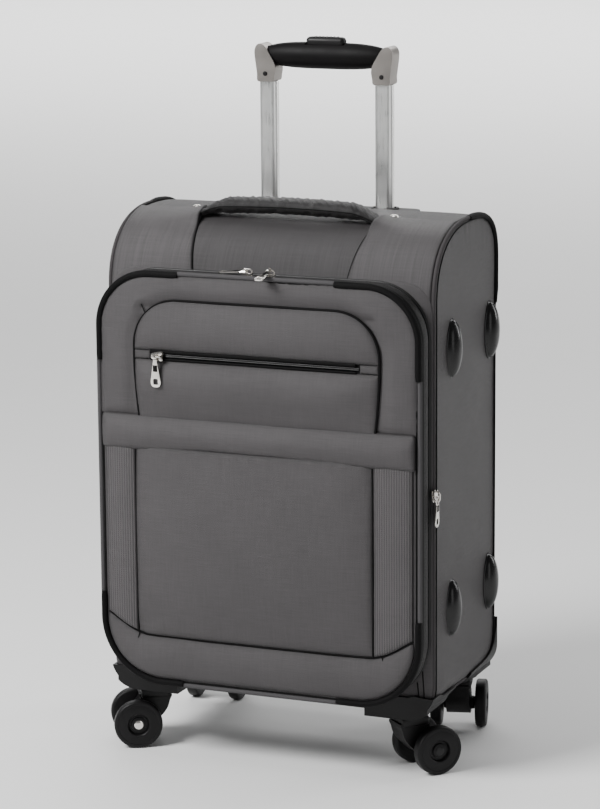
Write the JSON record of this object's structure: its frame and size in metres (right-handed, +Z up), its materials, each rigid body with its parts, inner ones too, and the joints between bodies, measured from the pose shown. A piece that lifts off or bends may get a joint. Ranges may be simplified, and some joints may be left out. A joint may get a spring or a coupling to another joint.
{
  "type": "softside upright suitcase",
  "caption": "Soft upright cabin suitcase with a telescopic pull handle, zipped lid with pockets, expanding frame and swivelling twin-wheel casters.",
  "frame": {"origin": "on the floor, under the middle of the suitcase's bounding box", "axes": "+Z up; -Y is the front, where the lid and pockets are; +X is the right side seen from the front, with the side feet"},
  "size_m": [0.3843, 0.2681, 0.7235],
  "materials": {
    "cloth": "fine grey twill with a soft sheen",
    "pocket_cloth": "fine grey twill, padded",
    "lining": "thin black lining",
    "board": "dark plastic board",
    "moulding": "satin black moulding",
    "soft_grip": "soft-touch black",
    "wheel": "black wheel rubber",
    "gloss_black": "glossy black",
    "zip_tape": "black zip tape and coil",
    "aluminium": "clear anodised",
    "satin_metal": "satin metallic grey",
    "nickel": "polished nickel"
  },
  "bodies": {
    "suitcase_body": {"back_panel": "cloth", "inner_back_panel": "lining", "top_panel": "cloth", "bottom_panel": "board", "side_panel_left": "cloth", "side_panel_right": "cloth", "opening_frame": "cloth", "expansion_gusset": "lining", "corner_guard_front_left": "moulding", "corner_guard_front_right": "moulding", "corner_guard_rear_left": "moulding", "corner_guard_rear_right": "moulding", "side_foot_upper_front": "gloss_black", "side_foot_upper_rear": "gloss_black", "side_foot_lower_front": "gloss_black", "side_foot_lower_rear": "gloss_black", "outer_tube_left": "aluminium", "outer_tube_right": "aluminium", "handle_base": "moulding", "handle_bezel": "moulding", "rivet_left": "nickel", "rivet_right": "nickel"},
    "handle_lower": {"middle_tube_left": "aluminium", "middle_tube_right": "aluminium"},
    "handle_upper": {"inner_tube_left": "aluminium", "inner_tube_right": "aluminium", "grip_bracket_left": "satin_metal", "grip_bracket_right": "satin_metal", "grip": "soft_grip"},
    "handle_button": {"release_button": "moulding"},
    "top_handle": {"top_carry_handle": "cloth"},
    "side_handle": {"side_carry_handle": "cloth"},
    "expansion": {"expansion_frame": "cloth", "main_zip": "zip_tape"},
    "lid": {"lid_panel": "cloth", "upper_pocket": "pocket_cloth", "pocket_zip": "zip_tape", "pocket_band": "pocket_cloth", "lower_pocket": "pocket_cloth", "lid_bottom_panel": "pocket_cloth"},
    "pocket_slider_body": {"pocket_slider": "nickel"},
    "pocket_pull_body": {"pocket_pull": "nickel"},
    "main_left_slider_body": {"main_left_slider": "nickel"},
    "main_left_pull_body": {"main_left_pull": "nickel"},
    "main_right_slider_body": {"main_right_slider": "nickel"},
    "main_right_pull_body": {"main_right_pull": "nickel"},
    "expansion_slider_body": {"expansion_slider": "nickel"},
    "expansion_pull_body": {"expansion_pull": "nickel"},
    "caster_front_left": {"caster_fork_front_left": "moulding"},
    "wheel_front_left_a_body": {"wheel_front_left_a": "wheel"},
    "wheel_front_left_b_body": {"wheel_front_left_b": "wheel"},
    "caster_front_right": {"caster_fork_front_right": "moulding"},
    "wheel_front_right_a_body": {"wheel_front_right_a": "wheel"},
    "wheel_front_right_b_body": {"wheel_front_right_b": "wheel"},
    "caster_rear_left": {"caster_fork_rear_left": "moulding"},
    "wheel_rear_left_a_body": {"wheel_rear_left_a": "wheel"},
    "wheel_rear_left_b_body": {"wheel_rear_left_b": "wheel"},
    "caster_rear_right": {"caster_fork_rear_right": "moulding"},
    "wheel_rear_right_a_body": {"wheel_rear_right_a": "wheel"},
    "wheel_rear_right_b_body": {"wheel_rear_right_b": "wheel"}
  },
  "joints": [
    {"name": "handle_lower_slide", "type": "slide", "parent": "suitcase_body", "child": "handle_lower", "axis": [0, 0, 1], "range_m": [0, 0.21]},
    {"name": "handle_upper_slide", "type": "slide", "parent": "handle_lower", "child": "handle_upper", "axis": [0, 0, 1], "range_m": [-0.117, 0.115]},
    {"name": "release_button_press", "type": "slide", "parent": "handle_upper", "child": "handle_button", "axis": [0, 0, -1], "range_m": [0, 0.003], "stiffness_N_per_m": 400},
    {"name": "top_handle_lift", "type": "slide", "parent": "suitcase_body", "child": "top_handle", "axis": [0, 0, 1], "range_m": [0, 0.022]},
    {"name": "side_handle_lift", "type": "slide", "parent": "suitcase_body", "child": "side_handle", "axis": [-1, 0, 0], "range_m": [0, 0.022], "stiffness_N_per_m": 60},
    {"name": "expansion_slide", "type": "slide", "parent": "suitcase_body", "child": "expansion", "axis": [0, -1, 0], "range_m": [0, 0.028], "deforming": ["expansion_gusset"]},
    {"name": "lid_hinge", "type": "hinge", "parent": "expansion", "child": "lid", "pos_m": [-0.1745, -0.1045, 0.29], "axis": [0, 0, -1], "range_deg": [0, 160]},
    {"name": "pocket_slider_slide", "type": "slide", "parent": "lid", "child": "pocket_slider_body", "axis": [1, 0, 0], "range_m": [-0.003, 0.208]},
    {"name": "pocket_pull_lift", "type": "hinge", "parent": "pocket_slider_body", "child": "pocket_pull_body", "pos_m": [-0.104, -0.1253, 0.42], "axis": [-1, 0, 0], "range_deg": [0, 150]},
    {"name": "main_left_slide", "type": "slide", "parent": "expansion", "child": "main_left_slider_body", "axis": [-1, 0, 0], "range_m": [0, 0.095]},
    {"name": "main_left_pull_lift", "type": "hinge", "parent": "main_left_slider_body", "child": "main_left_pull_body", "pos_m": [-0.012, -0.1036, 0.50785], "axis": [0, 1, 0], "range_deg": [0, 110]},
    {"name": "main_right_slide", "type": "slide", "parent": "expansion", "child": "main_right_slider_body", "axis": [1, 0, 0], "range_m": [0, 0.095]},
    {"name": "main_right_pull_lift", "type": "hinge", "parent": "main_right_slider_body", "child": "main_right_pull_body", "pos_m": [0.012, -0.1036, 0.51], "axis": [-1, 0, 0], "range_deg": [0, 120]},
    {"name": "expansion_slider_slide", "type": "slide", "parent": "suitcase_body", "child": "expansion_slider_body", "axis": [0, 0, 1], "range_m": [-0.15, 0.15]},
    {"name": "expansion_pull_lift", "type": "hinge", "parent": "expansion_slider_body", "child": "expansion_pull_body", "pos_m": [0.18035, -0.0845, 0.292], "axis": [0, -1, 0], "range_deg": [0, 150]},
    {"name": "caster_swivel_front_left", "type": "hinge", "parent": "suitcase_body", "child": "caster_front_left", "pos_m": [-0.1415, -0.06, 0.06], "axis": [0, 0, 1], "continuous": true},
    {"name": "wheel_spin_front_left_a", "type": "hinge", "parent": "caster_front_left", "child": "wheel_front_left_a_body", "pos_m": [-0.14664, -0.0901, 0.025], "axis": [0.5, -0.866, 0], "continuous": true},
    {"name": "wheel_spin_front_left_b", "type": "hinge", "parent": "caster_front_left", "child": "wheel_front_left_b_body", "pos_m": [-0.17014, -0.0494, 0.025], "axis": [0.5, -0.866, 0], "continuous": true},
    {"name": "caster_swivel_front_right", "type": "hinge", "parent": "suitcase_body", "child": "caster_front_right", "pos_m": [0.1415, -0.06, 0.06], "axis": [0, 0, 1], "continuous": true},
    {"name": "wheel_spin_front_right_a", "type": "hinge", "parent": "caster_front_right", "child": "wheel_front_right_a_body", "pos_m": [0.13656, -0.02987, 0.025], "axis": [-0.7547, 0.6561, 0], "continuous": true},
    {"name": "wheel_spin_front_right_b", "type": "hinge", "parent": "caster_front_right", "child": "wheel_front_right_b_body", "pos_m": [0.17203, -0.0607, 0.025], "axis": [-0.7547, 0.6561, 0], "continuous": true},
    {"name": "caster_swivel_rear_left", "type": "hinge", "parent": "suitcase_body", "child": "caster_rear_left", "pos_m": [-0.1415, 0.084, 0.06], "axis": [0, 0, 1], "continuous": true},
    {"name": "wheel_spin_rear_left_a", "type": "hinge", "parent": "caster_rear_left", "child": "wheel_rear_left_a_body", "pos_m": [-0.16661, 0.10138, 0.025], "axis": [-0.9962, -0.0872, 0], "continuous": true},
    {"name": "wheel_spin_rear_left_b", "type": "hinge", "parent": "caster_rear_left", "child": "wheel_rear_left_b_body", "pos_m": [-0.11979, 0.10547, 0.025], "axis": [-0.9962, -0.0872, 0], "continuous": true},
    {"name": "caster_swivel_rear_right", "type": "hinge", "parent": "suitcase_body", "child": "caster_rear_right", "pos_m": [0.1415, 0.084, 0.06], "axis": [0, 0, 1], "continuous": true},
    {"name": "wheel_spin_rear_right_a", "type": "hinge", "parent": "caster_rear_right", "child": "wheel_rear_right_a_body", "pos_m": [0.11375, 0.09675, 0.025], "axis": [-0.9659, -0.2588, 0], "continuous": true},
    {"name": "wheel_spin_rear_right_b", "type": "hinge", "parent": "caster_rear_right", "child": "wheel_rear_right_b_body", "pos_m": [0.15915, 0.10892, 0.025], "axis": [-0.9659, -0.2588, 0], "continuous": true}
  ]
}
